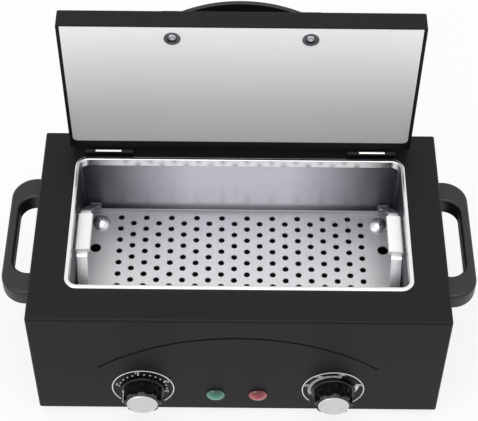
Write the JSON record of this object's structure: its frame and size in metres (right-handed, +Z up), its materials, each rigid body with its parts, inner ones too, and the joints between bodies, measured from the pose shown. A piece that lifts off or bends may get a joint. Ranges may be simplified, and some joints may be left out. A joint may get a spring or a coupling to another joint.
{
  "type": "dry heat sterilizer",
  "caption": "Bench dry heat sterilizer: enamelled steel cabinet with a hinged lid, stainless chamber, lift-out perforated tray and two dials on the front.",
  "frame": {"origin": "middle of the bounding box in plan, at the level the rubber feet stand on", "axes": "+X to the object's right seen from the front, +Y to the back, +Z up"},
  "size_m": [0.3572, 0.205, 0.2664],
  "materials": {
    "black_enamel": "satin black stoved enamel",
    "zinc_plated_sheet": "zinc plated",
    "stainless_satin": "satin stainless",
    "stainless_polished": "polished stainless",
    "lid_mirror_sheet": "bright annealed stainless",
    "chrome_plate": "bright plated",
    "hinge_steel_black": "blackened",
    "hinge_steel_bright": "bright",
    "silicone_white": "matt white silicone",
    "handle_plastic": "satin black moulding",
    "knob_plastic": "glossy black moulding",
    "spun_aluminium": "spun face",
    "white_ink": "screen print",
    "green_lens": "moulded lens",
    "red_lens": "moulded lens",
    "rubber": "black rubber",
    "screw_steel": "plated",
    "mineral_wool": "felted wool",
    "heater_sheath": "heat-dulled stainless",
    "phenolic": "moulded phenolic",
    "copper_tube": "drawn copper",
    "wire_sleeve": "glass-fibre sleeve"
  },
  "bodies": {
    "cabinet": {"outer_casing": "black_enamel", "rear_panel": "black_enamel", "base_plate": "zinc_plated_sheet", "chamber_tub": "stainless_satin", "chamber_rim": "stainless_polished", "chamber_insulation": "mineral_wool", "heating_element": "heater_sheath", "heater_clamps": "zinc_plated_sheet", "thermal_cutout": "heater_sheath", "thermostat_capillary": "copper_tube", "wiring": "wire_sleeve", "perforated_tray": "stainless_satin", "tray_legs": "stainless_satin", "tray_dome_nuts": "chrome_plate", "tray_bail_right": "stainless_satin", "tray_bail_left": "stainless_satin", "bail_sleeve_right": "silicone_white", "bail_sleeve_left": "silicone_white", "bail_rivets": "stainless_satin", "side_handle_right": "handle_plastic", "side_handle_left": "handle_plastic", "side_handle_screws": "screw_steel", "rubber_feet": "rubber", "foot_screws": "screw_steel", "hinge_leaf_fixed_right": "hinge_steel_black", "hinge_leaf_fixed_left": "hinge_steel_black", "hinge_pin_right": "hinge_steel_bright", "hinge_pin_left": "hinge_steel_bright", "casing_leaf_rivets": "hinge_steel_black", "timer_body": "phenolic", "thermostat_body": "phenolic", "bushing_nuts": "screw_steel", "dial_print": "white_ink", "green_lamp_lens": "green_lens", "red_lamp_lens": "red_lens", "lamp_bodies": "phenolic", "rear_panel_screws": "screw_steel", "base_screws": "screw_steel", "cord_gland": "rubber", "cord_gland_nut": "phenolic", "terminal_block": "phenolic"},
    "lid": {"lid_shell": "black_enamel", "lid_liner": "lid_mirror_sheet", "lid_insulation": "mineral_wool", "lid_handle": "handle_plastic", "lid_handle_screws": "chrome_plate", "lid_cup_washers": "chrome_plate", "hinge_leaf_lid_right": "hinge_steel_bright", "hinge_leaf_lid_left": "hinge_steel_bright", "lid_leaf_rivets": "hinge_steel_black"},
    "timer_knob_body": {"timer_shaft": "screw_steel", "timer_knob": "knob_plastic", "timer_knob_cap": "spun_aluminium", "timer_knob_pointer": "white_ink"},
    "thermostat_knob_body": {"thermostat_shaft": "screw_steel", "thermostat_knob": "knob_plastic", "thermostat_knob_cap": "spun_aluminium", "thermostat_knob_pointer": "white_ink"}
  },
  "joints": [
    {"name": "lid_hinge", "type": "hinge", "parent": "cabinet", "child": "lid", "pos_m": [0, 0.07369, 0.1276], "axis": [1, 0, 0], "range_deg": [0, 88]},
    {"name": "timer_turn", "type": "hinge", "parent": "cabinet", "child": "timer_knob_body", "pos_m": [-0.0728, -0.08701, 0.0356], "axis": [0, 1, 0], "range_deg": [-41, 228]},
    {"name": "thermostat_turn", "type": "hinge", "parent": "cabinet", "child": "thermostat_knob_body", "pos_m": [0.0728, -0.08701, 0.0356], "axis": [0, 1, 0], "range_deg": [0, 269]}
  ]
}
